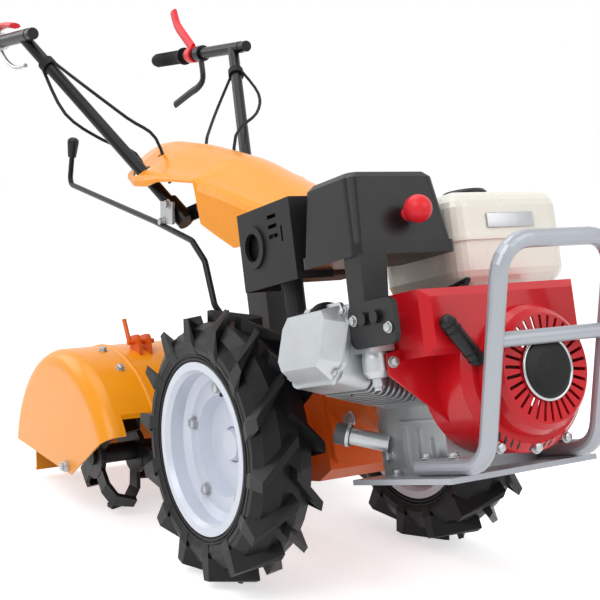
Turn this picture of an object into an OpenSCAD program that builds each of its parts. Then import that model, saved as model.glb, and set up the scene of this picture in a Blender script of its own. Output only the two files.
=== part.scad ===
// Two-wheel hand tractor with a petrol engine in front and a rotary tiller behind.
// The chassis is drawn level about the wheel axle and then tipped nose up, as it parks on its tines.

/* [Stance] */
// Nose-up angle of the parked chassis, degrees
pitch = 13; // [11:0.5:15]
// Distance between the tyres' middle planes
track = 425; // [415:1:460]

/* [Wheels] */
// Radius to the tips of the tyre lugs
tyre_r = 225; // [220:1:228]
// Width of the tyre over its lugs
tyre_w = 112; // [100:1:116]
// Height of the lugs over the carcass
lug_h = 20; // [14:1:24]
// Lugs in each of the tyre's two rows
lug_count = 14; // [12:1:16]
// Radius of the rim's outer lips
rim_r = 142; // [138:1:146]
// Radius of the rim's bead seats
bead_r = 127; // [124:1:130]
// Width of the rim between its lips
rim_w = 90; // [84:1:96]
// Radius of the wheel shafts
shaft_r = 17.5; // [15:0.5:20]

/* [Engine] */
// Height of the crankshaft over the wheel axle
crank_z = 63; // [60:1:66]
// Distance from the axle to the engine's drive face
pto_x = 256; // [252:1:262]
// Length of the crankcase
case_l = 160; // [150:1:170]
// Distance from the axle to the front of the recoil starter
recoil_x = 548; // [540:1:550]
// Height of the crankshaft over the engine's base
base_drop = 132; // [128:1:134]
// Angle of the cylinder over the level, degrees
cyl_tilt = 17; // [14:1:20]
// Distance along the cylinder from the crankshaft to the valve cover's outer face
cyl_reach = 266; // [262:1:272]

/* [Tank and air cleaner] */
// Length of the fuel tank
tank_l = 205; // [180:1:215]
// Width of the fuel tank
tank_w = 228; // [200:1:240]
// Height of the fuel tank
tank_h = 146; // [130:1:155]
// Length of the air cleaner
cleaner_l = 146; // [130:1:150]
// Width of the air cleaner
cleaner_w = 176; // [150:1:180]
// Height of the air cleaner
cleaner_h = 120; // [105:1:125]

/* [Bumper] */
// Diameter of the bumper tube
bumper_d = 25; // [20:1:28]
// Distance between the bumper's two uprights
bumper_w = 204; // [190:1:230]

/* [Handlebars] */
// Diameter of the handle tubes
handle_d = 25; // [20:1:28]
// Distance between the two grips
grip_w = 510; // [460:2:540]
// Diameter of the grips
grip_d = 33; // [30:1:38]

/* [Hood] */
// Wall of the hood
hood_t = 4; // [3:0.5:6]

/* [Tiller] */
// Width over the tiller's end plates
tiller_w = 600; // [580:2:640]
// Distance from the axle back to the rotor
rotor_back = 490; // [485:1:500]
// Radius to the feet of the tines
tine_r = 115; // [110:1:120]
// Steel of the shield
shield_t = 4; // [3:0.5:6]
// Height of the rear flap
flap_h = 92; // [70:1:95]

/* [Fits] */
// Gap between pieces that turn or sit in each other
fit = 0.3; // [0.2:0.05:0.5]

/* [Hidden] */
$fn = 32;

// Ground directions seen from the tipped chassis
cp = cos(pitch);
sp = sin(pitch);
// Rotor height over the axle that puts the tine feet on the floor
rotor_x = -rotor_back;
rotor_z = (tine_r - tyre_r + rotor_back * sp) / cp;

// Engine places
base_z = crank_z - base_drop;
case_x1 = pto_x + case_l;
cyl_x = pto_x + 79;

// Handle bar: level with the ground, from its front stub to the grip's end
bar_y = grip_w / 2;
bar_front = [-560, 878];
bar_l = 480;
bar_r = handle_d / 2 + 1;
stub_l = 24;
grip_l = 168;
// Foot and crown of each handle tube
handle_foot = [-316, 75, 430];
crown_back = 64;
handle_crown = [bar_front[0] - crown_back * cp, bar_y, bar_front[1] + crown_back * sp];

// Bumper places, along and up
bumper_foot = [372, base_z + bumper_d / 2 + fit / 2];
bumper_low = [519, base_z + bumper_d / 2 + fit / 2];
bumper_top = [605, 234];
bumper_y = bumper_w / 2;

// Origin midway between the bumper's front and the grips' ends
front_x = bumper_top[0] * cp - bumper_top[1] * sp + bumper_d / 2;
rear_x = bar_front[0] * cp - bar_front[1] * sp - bar_l;
axle_x = -(front_x + rear_x) / 2;

// Vectors
function unit(v) = v / norm(v);
function along(a, b, d) = a + unit(b - a) * d;

// Chassis frame: axle at its origin, tipped nose up onto the tines
module chassis() {
  translate([axle_x, 0, tyre_r])
    rotate([0, -pitch, 0])
      children();
}

// Wheel frame: local Z runs outwards along the axle, side is 1 on the left and -1 on the right
module wheel_at(side) {
  translate([axle_x, 0, tyre_r])
    mirror([0, side < 0 ? 1 : 0, 0])
      translate([0, track / 2, 0])
        rotate([-90, 0, 0])
          children();
}

// Extrudes an outline drawn in X and Z along Y, between two widths
module across(y0, y1) {
  translate([0, y1, 0])
    rotate([90, 0, 0])
      linear_extrude(y1 - y0)
        children();
}

// Extrudes an outline drawn in Y and Z along X, between two places
module lengthwise(x0, x1) {
  translate([x0, 0, 0])
    rotate([90, 0, 90])
      linear_extrude(x1 - x0)
        children();
}

// Frame at one point with its Z axis aimed at another
module aim(a, b) {
  d = b - a;
  translate(a)
    rotate([0, acos(d[2] / norm(d)), atan2(d[1], d[0])])
      children();
}
module rod(a, b, r) {
  aim(a, b) cylinder(h = norm(b - a), r = r);
}
// Rod with rounded ends, turned as one profile
ball_step = 15;
module ball_rod(a, b, r) {
  l = norm(b - a);
  aim(a, b)
    rotate_extrude()
      polygon(concat(
        [[0, -r]],
        [for (k = [ball_step - 90 : ball_step : 0]) [r * cos(k), r * sin(k)]],
        [for (k = [0 : ball_step : 90 - ball_step]) [r * cos(k), l + r * sin(k)]],
        [[0, l + r]]
      ));
}

// Solid between two four-cornered sections
module brick(a, b) {
  hull()
    polyhedron(
      points = concat(a, b),
      faces = [[0, 1, 2, 3], [7, 6, 5, 4], [1, 0, 4, 5], [2, 1, 5, 6], [3, 2, 6, 7], [0, 3, 7, 4]]
    );
}

// Path with its inner corners rounded to a bend radius
function corner(p, i, bend, steps) =
  let (
    u = unit(p[i] - p[i - 1]),
    v = unit(p[i + 1] - p[i]),
    angle = acos(u * v),
    w = unit(v - u * (u * v)),
    start = p[i] - u * bend * tan(angle / 2)
  )
  [for (k = [0 : steps])
    let (a = angle * k / steps)
    start + bend * (u * sin(a) + w * (1 - cos(a)))];
function rounded_path(p, bend, steps = 6) =
  concat([p[0]], [for (i = [1 : len(p) - 2]) each corner(p, i, bend, steps)], [p[len(p) - 1]]);

// Smooth curve through hand-picked points
function curve_at(p, i, t) =
  let (a = p[max(i - 1, 0)], b = p[i], c = p[i + 1], d = p[min(i + 2, len(p) - 1)])
  0.5 * (2 * b + (c - a) * t + (2 * a - 5 * b + 4 * c - d) * t * t + (3 * b - a - 3 * c + d) * t * t * t);
function curve(p, steps) =
  [for (i = [0 : len(p) - 2], s = [0 : steps - 1]) curve_at(p, i, s / steps), p[len(p) - 1]];

// Round tube swept along a path, its rings carried along without twist
function tangent(p, i) = unit(p[min(i + 1, len(p) - 1)] - p[max(i - 1, 0)]);
function square_to(s, t) = unit(s - t * (s * t));
function ring_sides(p) =
  let (n = len(p), first = abs(tangent(p, 0)[2]) < 0.9 ? [0, 0, 1] : [0, 1, 0])
  [for (i = 0, s = square_to(first, tangent(p, 0)); i < n;
        i = i + 1, s = i < n ? square_to(s, tangent(p, i)) : s) s];
module sweep(p, r, sides, flat = 1) {
  n = len(p);
  s = ring_sides(p);
  polyhedron(
    points = [for (i = [0 : n - 1], k = [0 : sides - 1])
      let (a = 360 * k / sides)
      p[i] + r * (s[i] * cos(a) + flat * cross(tangent(p, i), s[i]) * sin(a))],
    faces = concat(
      [[for (k = [0 : sides - 1]) k]],
      [[for (k = [sides - 1 : -1 : 0]) (n - 1) * sides + k]],
      [for (i = [0 : n - 2], k = [0 : sides - 1])
        let (j = (k + 1) % sides)
        [i * sides + j, i * sides + k, (i + 1) * sides + k, (i + 1) * sides + j]]
    )
  );
}
module bent_tube(p, bend, r, sides = 16) {
  sweep(rounded_path(p, bend), r, sides);
}
module cable(p, r) {
  sweep(curve(p, 4), r, 6);
}

// Rectangle with round corners, centred
module round_rect(w, h, r) {
  square([w - 2 * r, h], center = true);
  square([w, h - 2 * r], center = true);
  for (x = [-1, 1], y = [-1, 1])
    translate([x * (w / 2 - r), y * (h / 2 - r)])
      circle(r = r);
}

// Band between two circles in a plane, as the outline of a link or case
module link_outline(a, ra, b, rb) {
  d = unit(b - a);
  n = [-d[1], d[0]];
  translate(a) circle(r = ra);
  translate(b) circle(r = rb);
  polygon([a + n * ra, a - n * ra, b - n * rb, b + n * rb]);
}

// Tyre: carcass with two rows of slanted lugs
tyre_fn = 40;
carcass_r = tyre_r - lug_h;
bead_bore = (bead_r + fit) / cos(180 / tyre_fn);
bead_half = rim_w / 2 - fit;
wall_half = tyre_w / 2 - 4;
lug_in = 6;
lug_overlap = 3;
lug_base = 25;
lug_top = 15;
lug_fall = 12;
lug_turn = 17;
function lug_section(r0, r1, z, turn, base_w, top_w) =
  [for (k = [[r0, -base_w], [r0, base_w], [r1, top_w], [r1, -top_w]])
    let (x = k[0], y = k[1] / 2)
    [x * cos(turn) - y * sin(turn), x * sin(turn) + y * cos(turn), z]];
module tyre_lug() {
  crown = lug_section(carcass_r - lug_in, tyre_r, -lug_overlap, 0, lug_base, lug_top);
  shoulder = lug_section(
    carcass_r - 5 * lug_in, tyre_r - lug_fall, tyre_w / 2, lug_turn, lug_base, lug_top + 2
  );
  foot = lug_section(
    carcass_r - 9 * lug_in, carcass_r - 7 * lug_in, wall_half - 3, lug_turn + 3, lug_top + 5, lug_top + 5
  );
  brick(crown, shoulder);
  brick(shoulder, foot);
}
module tyre(side) {
  color("#1e1e22")
    wheel_at(side) {
      rotate_extrude($fn = tyre_fn)
        for (m = [0, 1])
          mirror([0, m])
            polygon([
              [bead_bore, 0], [bead_bore, bead_half], [rim_r, bead_half], [rim_r + 22, wall_half],
              [carcass_r - 28, wall_half], [carcass_r - 10, wall_half - 10], [carcass_r, wall_half - 36],
              [carcass_r, 0]
            ]);
      for (m = [0, 1], i = [0 : lug_count - 1])
        mirror([0, 0, m])
          rotate([0, 0, 90 + 360 * (i + m / 2) / lug_count])
            tyre_lug();
    }
}
module tyre_right() tyre(-1);
module tyre_left() tyre(1);

// Rim: barrel with rolled lips, bolt band inside it and a deeper disc for the hub
rim_t = 4;
lip_t = 4;
lip_roll = 6;
band_z = 8;
band_r = [84, 110];
disc_z = -14;
disc_t = 5;
disc_r = 78;
disc_bore = 30;
module rim(side) {
  lip_z = rim_w / 2 + lip_t;
  inner_r = bead_r - rim_t;
  color("#d8dce6")
    wheel_at(side)
      rotate_extrude()
        polygon([
          [disc_bore, disc_z], [disc_r, disc_z], [band_r[0], band_z], [band_r[1], band_z],
          [inner_r, band_z + 9], [inner_r, lip_z - lip_roll - 2], [inner_r + lip_roll, lip_z],
          [rim_r, lip_z], [rim_r, rim_w / 2], [bead_r, rim_w / 2], [bead_r, -rim_w / 2],
          [rim_r, -rim_w / 2], [rim_r, -lip_z], [inner_r + lip_roll, -lip_z],
          [inner_r, lip_roll + 2 - lip_z], [inner_r, band_z + 9 - disc_t - 1],
          [band_r[1] - 1, band_z - disc_t], [band_r[0] + disc_t, band_z - disc_t],
          [disc_r + disc_t, disc_z - disc_t], [disc_bore, disc_z - disc_t]
        ]);
}
module rim_right() rim(-1);
module rim_left() rim(1);

// Half axle: shaft out of the gearbox, flange behind the disc and the hub's end through it
axle_tube_end = track / 2 - tyre_w / 2 - 6;
axle_run_in = 40;
flange_t = 10;
flange_r = 72;
hub_end = 8;
module half_axle(side) {
  back = disc_z - disc_t;
  shaft_z = axle_tube_end - axle_run_in - track / 2;
  color("#8a8c90")
    wheel_at(side) {
      translate([0, 0, shaft_z])
        cylinder(h = back - flange_t / 2 - shaft_z, r = shaft_r);
      translate([0, 0, back - flange_t])
        cylinder(h = flange_t, r = flange_r);
      translate([0, 0, back - 2])
        cylinder(h = disc_t + 2 + hub_end, r1 = disc_bore - fit, r2 = disc_bore - 6);
    }
}
module half_axle_right() half_axle(-1);
module half_axle_left() half_axle(1);

// Gearbox: cast case with axle tubes, top neck for the handle post and a round drive neck behind
gear_half = 78;
neck_x = -330;
neck_z = 66;
neck_flange_r = 74;
neck_flange_t = 14;
drive_neck_r = 56;
gear_front = 98;
axle_tube_r = 34;
axle_boss_r = 62;
axle_boss_t = 14;
post_x = -150;
post_top = 128;
module gearbox() {
  color("#e0701a")
    chassis() {
      difference() {
        union() {
          across(-gear_half, gear_half)
            polygon([
              [-190, -40], [-150, -72], [60, -78], [gear_front, -60], [gear_front, 108], [40, post_top],
              [-205, post_top], [-225, 100], [-225, 0]
            ]);
          rotate([90, 0, 0])
            cylinder(h = 2 * axle_tube_end, r = axle_tube_r, center = true);
          for (m = [0, 1])
            mirror([0, m, 0])
              translate([0, gear_half + axle_boss_t, 0])
                rotate([90, 0, 0])
                  cylinder(h = axle_boss_t, r = axle_boss_r);
          lengthwise(neck_x + neck_flange_t, -200)
            translate([0, neck_z])
              circle(r = drive_neck_r);
          lengthwise(neck_x, neck_x + neck_flange_t)
            translate([0, neck_z])
              circle(r = neck_flange_r);
        }
        rotate([90, 0, 0])
          cylinder(h = 2 * axle_tube_end + 2, r = shaft_r + fit / 4, center = true);
      }
    }
}

// Clutch housing: bell between gearbox and engine
bell_flange_t = 14;
bell_r = [78, 92];
bell_flange_r = 100;
module clutch_housing() {
  back = gear_front + bell_flange_t;
  front = pto_x - bell_flange_t;
  color("#e05a10")
    chassis() {
      lengthwise(gear_front, back)
        translate([0, 22]) round_rect(150, 150, 20);
      translate([back, 0, crank_z])
        rotate([0, 90, 0])
          cylinder(h = front - back, r1 = bell_r[0], r2 = bell_r[1]);
      lengthwise(front, pto_x)
        translate([0, crank_z]) circle(r = bell_flange_r);
    }
}

// Crankcase: round over the crankshaft, foot flange below and a seat for the cylinder
case_half = 84;
foot_t = 12;
cyl_seat = 100;
module cylinder_axis() {
  translate([cyl_x, 0, crank_z])
    rotate([90 - cyl_tilt, 0, 0])
      children();
}
rib_t = 5;
rib_h = 5;
module crankcase() {
  color("#c8ccc8")
    chassis() {
      lengthwise(pto_x, case_x1) {
        translate([0, crank_z]) circle(r = case_half);
        translate([-case_half, base_z + foot_t]) square([2 * case_half, base_drop - foot_t]);
      }
      translate([pto_x + 6, -case_half - 3, base_z])
        cube([case_l - 12, 2 * case_half + 6, foot_t]);
      for (i = [0 : 2])
        translate([pto_x + 62 + i * 32, -case_half - rib_h, base_z + foot_t - 1])
          cube([rib_t, rib_h + 1, 66 - i * 12]);
      translate([pto_x + 56, -case_half - rib_h, base_z + 74])
        cube([case_l - 62, rib_h + 1, rib_t]);
      cylinder_axis()
        linear_extrude(cyl_seat) round_rect(124, 112, 14);
    }
}

// Cylinder: finned barrel and head
fin_t = 3;
fin_gap = 9;
fin_count = 9;
head_d0 = cyl_seat + fin_count * fin_gap + 4;
head_d1 = cyl_reach - 34;
module cylinder_body() {
  cylinder_axis() {
    translate([0, 0, cyl_seat])
      cylinder(h = head_d0 - cyl_seat, r = 48);
    for (i = [0 : fin_count - 1])
      translate([0, 0, cyl_seat + 4 + i * fin_gap])
        linear_extrude(fin_t) round_rect(128, 116, 16);
    translate([0, 0, head_d0])
      linear_extrude(head_d1 - head_d0) round_rect(134, 112, 14);
  }
}
module cylinder_node() {
  color("#b9bdba") chassis() cylinder_body();
}

// Valve cover: tapered pressed cap with eight sides on a flange
cover_flange_t = 6;
cover_taper = 16;
module cover_outline(grow) {
  polygon([
    [-72 - grow, -24], [-42, -56 - grow], [50, -56 - grow], [72 + grow, -30],
    [72 + grow, 26], [44, 56 + grow], [-46, 56 + grow], [-72 - grow, 24]
  ]);
}
module valve_cover() {
  color("#ccd3ce")
    chassis()
      cylinder_axis() {
        translate([0, 0, head_d1])
          linear_extrude(cover_flange_t) cover_outline(3);
        hull() {
          translate([0, 0, head_d1 + cover_flange_t - 1])
            linear_extrude(1) cover_outline(-2);
          translate([0, 0, cyl_reach - 1])
            linear_extrude(1) cover_outline(-cover_taper);
        }
      }
}

// Oil filler: neck out of the crankcase with a ribbed cap
filler_foot = [pto_x + 24, -case_half, -22];
filler_r = 13;
filler_top = [pto_x - 22, -case_half - 42, -2];
module oil_filler() {
  color("#55585c")
    chassis()
      difference() {
        union() {
          rod(filler_foot, filler_top, filler_r);
          aim(along(filler_top, filler_foot, 4), along(filler_top, filler_foot, -18)) {
            cylinder(h = 5, r = filler_r + 5);
            cylinder(h = 22, r = filler_r + 3, $fn = 10);
          }
        }
        translate([pto_x, -case_half, base_z])
          cube([case_l, 2 * case_half, base_drop]);
      }
}

// Carburettor: body on the head's front side with its float bowl
carb_x = cyl_x + 67 + fit;
carb_y = -192;
carb_z = 112;
carb_w = 40;
carb_h = 50;
bowl_r = 19;
module carburettor() {
  color("#c4c8c6")
    chassis() {
      translate([carb_x, carb_y - carb_w / 2, carb_z])
        cube([carb_w, carb_w, carb_h]);
      translate([carb_x + carb_w / 2, carb_y, 0])
        rotate_extrude()
          polygon([
            [0, carb_z - 46], [8, carb_z - 46], [8, carb_z - 36], [13, carb_z - 35],
            [bowl_r, carb_z - 26], [bowl_r, carb_z - 8], [bowl_r - 2, carb_z + 1], [0, carb_z + 1]
          ]);
    }
}

// Control panel: pressed plate beside the carburettor with its choke and fuel levers
panel_w = 104;
panel_h = 62;
panel_t = 8;
module control_panel() {
  panel_x = carb_x + 8 + panel_w / 2;
  panel_y = carb_y - carb_w / 2 - panel_t;
  panel_z = carb_z + 6 + panel_h / 2;
  color("#26262a")
    chassis() {
      across(panel_y, panel_y + panel_t)
        translate([panel_x, panel_z]) round_rect(panel_w, panel_h, 14);
      translate([carb_x + carb_w + fit, carb_y - carb_w / 2 - 1, carb_z + 18])
        cube([26, 31, 30]);
      for (x = [-14, 14])
        across(panel_y - 6, panel_y + 1)
          translate([panel_x + x, panel_z + 8]) circle(r = 9);
    }
}

// Air cleaner: tapered cover on a tray, with the duct down to the carburettor
cleaner_x = 295;
cleaner_y = -38;
cleaner_z = 245;
tray_h = 17;
cover_step = 5;
cover_lean = 24;
cover_set = 2;
cover_edge = 16;
cap_h = 9;
duct_w = carb_w - 2;
duct_in = 1;
module air_cleaner() {
  cx = cleaner_x + cleaner_l / 2;
  cy = cleaner_y - cleaner_w / 2;
  duct_y = carb_y - carb_w / 2 + duct_in;
  color("#2a2a2e")
    chassis() {
      translate([cx, cy, cleaner_z])
        linear_extrude(tray_h) round_rect(cleaner_l, cleaner_w, 14);
      hull() {
        translate([cx, cy, cleaner_z + tray_h - 1])
          linear_extrude(1) round_rect(cleaner_l - cover_step, cleaner_w - cover_step, 14, $fn = 24);
        translate([cx - cover_set, cy, cleaner_z + cleaner_h - cap_h])
          linear_extrude(1) round_rect(cleaner_l - cover_lean, cleaner_w - cover_lean, 18, $fn = 24);
        translate([cx - cover_set, cy, cleaner_z + cleaner_h - 1])
          linear_extrude(1)
            round_rect(cleaner_l - cover_lean - cover_edge, cleaner_w - cover_lean - cover_edge, 14, $fn = 24);
      }
      hull() {
        translate([carb_x, duct_y, carb_z + carb_h])
          cube([duct_w, carb_w - duct_in, 1]);
        translate([carb_x, duct_y + duct_in, cleaner_z])
          cube([duct_w, carb_w + 6, 1]);
      }
    }
}
// Knob, square to the cover's leaning front face
knob_r = 20;
knob_shank = 14;
knob_up = 55;
cover_run = (cover_lean - cover_step) / 2 + cover_set;
cover_rise = cleaner_h - cap_h - tray_h;
module cleaner_knob() {
  face_x = cleaner_x + cleaner_l - cover_step / 2 - cover_run * (knob_up - tray_h) / cover_rise;
  color("#e02832")
    chassis()
      translate([face_x, cleaner_y - cleaner_w * 0.44, cleaner_z + knob_up])
        rotate([0, 90 - atan(cover_run / cover_rise), 0]) {
          translate([0, 0, fit]) cylinder(h = knob_shank, r = knob_r / 2);
          translate([0, 0, knob_r + 7]) sphere(r = knob_r);
        }
}

// Muffler: drum behind the air cleaner with its pipe from the head, and the guard over it
muffler_x = [133, 277];
muffler_y = [-204, -60];
muffler_z = [243, 352];
muffler_t = 3;
pipe_r = 16;
pipe_bend = 34;
pipe_y = -180;
pipe_z = 128;
guard_gap = 7;
guard_t = 3;
guard_depth = 64;
module muffler_drum(inset) {
  translate([(muffler_x[0] + muffler_x[1]) / 2, muffler_y[1] - inset, (muffler_z[0] + muffler_z[1]) / 2])
    rotate([90, 0, 0])
      linear_extrude(muffler_y[1] - muffler_y[0] - 2 * inset)
        round_rect(
          muffler_x[1] - muffler_x[0] - 2 * inset, muffler_z[1] - muffler_z[0] - 2 * inset, 36 - inset
        );
}
module muffler() {
  color("#3a3a3c")
    chassis()
      difference() {
        union() {
          muffler_drum(0);
          bent_tube([
            [cyl_x - 67 - fit, pipe_y, pipe_z], [muffler_x[1] - 62, pipe_y, pipe_z],
            [muffler_x[1] - 62, pipe_y, muffler_z[0] + 2]
          ], pipe_bend, pipe_r);
        }
        muffler_drum(muffler_t);
      }
}
outlet = [169, 301];
outlet_r = [22, 33];
module muffler_guard() {
  x0 = muffler_x[0] - guard_gap;
  z0 = muffler_z[0] - guard_gap;
  y0 = muffler_y[0] - guard_gap - guard_t;
  w = muffler_x[1] - muffler_x[0] + 2 * guard_gap;
  h = muffler_z[1] - muffler_z[0] + 2 * guard_gap;
  color("#232326")
    chassis()
      difference() {
        union() {
          difference() {
            translate([x0, y0, z0])
              cube([w, guard_depth, h]);
            translate([x0 + guard_t, y0 + guard_t, z0 - 1])
              cube([w - 2 * guard_t, guard_depth, h - guard_t + 1]);
          }
          for (x = [0.6, 0.9], z = [0.25, 0.6])
            translate([x0 + w * x, muffler_y[0], z0 + h * z])
              rotate([90, 0, 0])
                cylinder(h = guard_gap + guard_t / 2, r = 6);
          across(y0 - 4, y0 + 1)
            translate(outlet) circle(r = outlet_r[1]);
        }
        across(y0 - 5, y0 + guard_t + 1) {
          translate(outlet) circle(r = outlet_r[0]);
          for (z = [306, 321, 336])
            translate([217, z]) square([26, 6]);
          translate([252, 297]) square([5, 24]);
        }
      }
}

// Fan shroud: pressed housing round the flywheel, bevelled in front, with an arm to the cylinder
shroud_x1 = recoil_x - 34;
shroud_r = 114;
shroud_side = 168;
shroud_top = crank_z + 124;
shroud_low = crank_z + 34;
shroud_t = 3;
shroud_bevel = 12;
module shroud_outline(inset) {
  translate([0, crank_z]) circle(r = shroud_r - inset);
  translate([-shroud_side + inset, shroud_low + inset])
    square([shroud_side + shroud_r - 2 * inset, shroud_top - shroud_low - 2 * inset]);
}
module shroud_slice(x, inset) {
  lengthwise(x, x + 1)
    translate([-shroud_side + inset, shroud_low + inset])
      square([shroud_side + shroud_r - 2 * inset, shroud_top - shroud_low - 2 * inset]);
}
module fan_shroud() {
  edge = shroud_x1 - shroud_bevel;
  color("#d81f2a")
    chassis()
      difference() {
        union() {
          lengthwise(case_x1 + fit, edge) shroud_outline(0);
          hull() {
            shroud_slice(edge - 1, 0);
            shroud_slice(shroud_x1 - 1, shroud_bevel);
          }
          translate([edge - 1, 0, crank_z])
            rotate([0, 90, 0])
              cylinder(h = shroud_bevel + 1, r1 = shroud_r, r2 = shroud_r - shroud_bevel);
          lengthwise(case_x1 + 28, case_x1 + 32)
            polygon([[-190, 78], [-190, 108], [-165, 112], [-100, 112], [-80, -12], [-106, 12]]);
        }
        lengthwise(case_x1, edge - shroud_t) shroud_outline(shroud_t);
        lengthwise(edge - shroud_t - 1, shroud_x1 + 1)
          translate([0, crank_z]) circle(r = recoil_r - 5);
      }
}

// Recoil cover: dome with a ring of slots round its hub
recoil_r = 92;
recoil_h = recoil_x - shroud_x1;
slot_count = 30;
slot_r = [46, 73];
slot_w = 4.5;
module recoil_cover() {
  color("#d81f2a")
    chassis()
      translate([shroud_x1, 0, crank_z])
        rotate([0, 90, 0])
          difference() {
            rotate_extrude()
              polygon([
                [recoil_r, 0], [recoil_r - 2, 14], [recoil_r - 8, 26], [recoil_r - 16, recoil_h],
                [0, recoil_h], [0, recoil_h - 3], [recoil_r - 18, recoil_h - 3],
                [recoil_r - 11, 25], [recoil_r - 5, 13], [recoil_r - 3, 0]
              ]);
            for (i = [0 : slot_count - 1])
              rotate([0, 0, 360 * i / slot_count])
                translate([slot_r[0], -slot_w / 2, recoil_h - 8])
                  cube([slot_r[1] - slot_r[0], slot_w, 12]);
          }
}
hub_r = 42;
module recoil_hub() {
  color("#26262a")
    chassis()
      translate([recoil_x, 0, crank_z])
        rotate([0, 90, 0])
          rotate_extrude()
            polygon([[0, 0], [hub_r, 0], [hub_r, 3], [hub_r - 4, 4.5], [hub_r - 20, 6], [0, 6.5]]);
}
// Pull grip, its near end just clear of the recoil cover's rim
pull_r = 11;
pull_far = [-142, 138];
pull_way = [-98, 23];
module starter_grip() {
  x = shroud_x1 + pull_r + fit;
  near = [0, crank_z] + unit(pull_way) * (recoil_r + pull_r + fit);
  color("#1c1c1e")
    chassis()
      ball_rod([x, pull_far[0], pull_far[1]], [x, near[0], near[1]], pull_r);
}

// Fuel tank: two pressed halves with rounded edges and a seam, on legs over the crankcase
tank_x = 222;
tank_y = -28;
tank_z = 192;
tank_wall = 3;
tank_edge = 30;
seam_h = 70;
seam_t = 6;
neck_r = 24;
module tank_corners(inset, z) {
  for (x = [inset, tank_l - inset], y = [inset, tank_w - inset])
    translate([tank_x + x, tank_y + y, tank_z + z])
      children();
}
module tank_body(inset) {
  r = tank_edge - inset;
  hull() {
    tank_corners(tank_edge + 4, tank_h - tank_edge) sphere(r = r, $fn = 20);
    tank_corners(tank_edge + 4, tank_edge) sphere(r = r, $fn = 20);
  }
}
module fuel_tank() {
  color("#e8e4d8")
    chassis()
      difference() {
        union() {
          tank_body(0);
          translate([tank_x + tank_l / 2, tank_y + tank_w / 2, tank_z + seam_h])
            linear_extrude(seam_t) round_rect(tank_l, tank_w, tank_edge + 4);
          for (x = [pto_x + 14, min(case_x1 - 34, tank_x + tank_l - 50)])
            translate([x, 12, crank_z])
              cube([20, 44, tank_z - crank_z + tank_edge]);
        }
        tank_body(tank_wall);
        translate([tank_x + tank_l / 2, tank_y + tank_w / 2, tank_z + tank_h - 20])
          cylinder(h = 40, r = neck_r);
        lengthwise(pto_x - 1, case_x1 + 1)
          translate([0, crank_z]) circle(r = case_half + fit / 2);
      }
}
module fuel_cap() {
  color("#202022")
    chassis()
      translate([tank_x + tank_l / 2, tank_y + tank_w / 2, tank_z + tank_h])
        rotate_extrude()
          polygon([
            [0, -8], [neck_r - fit, -8], [neck_r - fit, 0], [36, 0], [36, 11], [32, 15], [0, 17]
          ]);
}

// Engine plate under the crankcase, carried by the clutch housing
plate_t = 8;
plate_l = 236;
plate_w = bumper_w + 68;
plate_x = pto_x - 10;
plate_hole_x = plate_x + plate_l - 22;
plate_hole_r = 6.5;
plate_pcd = 120;
module engine_plate() {
  color("#a8acb2")
    chassis()
      difference() {
        translate([plate_x, -plate_w / 2, base_z - plate_t])
          cube([plate_l, plate_w, plate_t]);
        for (y = [-1, 1])
          translate([plate_hole_x, y * plate_pcd / 2, base_z - plate_t - 1])
            cylinder(h = plate_t + 2, r = plate_hole_r);
      }
}

// Bumper: two bent uprights, top bar and crossbar
bumper_bend = 46;
cross_share = 0.56;
module bumper() {
  r = bumper_d / 2;
  mid = bumper_low + (bumper_top - bumper_low) * cross_share;
  function at(p, y) = [p[0], y, p[1]];
  color("#b8bcc4")
    chassis() {
      bent_tube([
        at(bumper_foot, -bumper_y), at(bumper_low, -bumper_y), at(bumper_top, -bumper_y),
        at(bumper_top, bumper_y), at(bumper_low, bumper_y), at(bumper_foot, bumper_y)
      ], bumper_bend, r);
      rod(at(mid, -bumper_y), at(mid, bumper_y), r - 2);
    }
}

// Hood: moulded shell lofted along the machine
// Stations: place, ridge height, half width, shoulder height, skirt's lower edge
hood_stations = [
  [-545, 636, 62, 606, 598], [-500, 635, 96, 580, 566], [-450, 625, 128, 562, 546],
  [-400, 610, 140, 552, 520], [-350, 595, 140, 542, 508], [-308, 580, 136, 528, 508],
  [-250, 558, 130, 510, 496], [-180, 530, 124, 488, 478], [-170, 526, 123, 484, 400],
  [-130, 506, 120, 466, 374], [-70, 473, 116, 440, 338], [0, 435, 111, 408, 336],
  [60, 404, 105, 380, 338], [104, 380, 98, 356, 340]
];
hood_arc = 12;
function hood_half(s, t) =
  let (w = s[2] - t, zt = s[1] - t, zs = s[3] - t, zb = s[4], r = min(22, (zs - zb) * 0.7))
  concat(
    [[w, zb]],
    [for (a = [0 : 30 : 60]) [w - r + r * cos(a), zs - r + r * sin(a)]],
    [for (k = [0 : hood_arc])
      let (y = (w - r * 0.75) * (1 - k / hood_arc), f = y / (w - r * 0.75))
      [y, zs + (zt - zs) * pow(cos(90 * f), 1.3)]]
  );
function hood_section(s, t) =
  let (h = hood_half(s, t), n = len(h))
  concat(
    [for (p = h) [s[0], -p[0], p[1]]],
    [for (i = [n - 2 : -1 : 0]) [s[0], h[i][0], h[i][1]]]
  );
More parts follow.
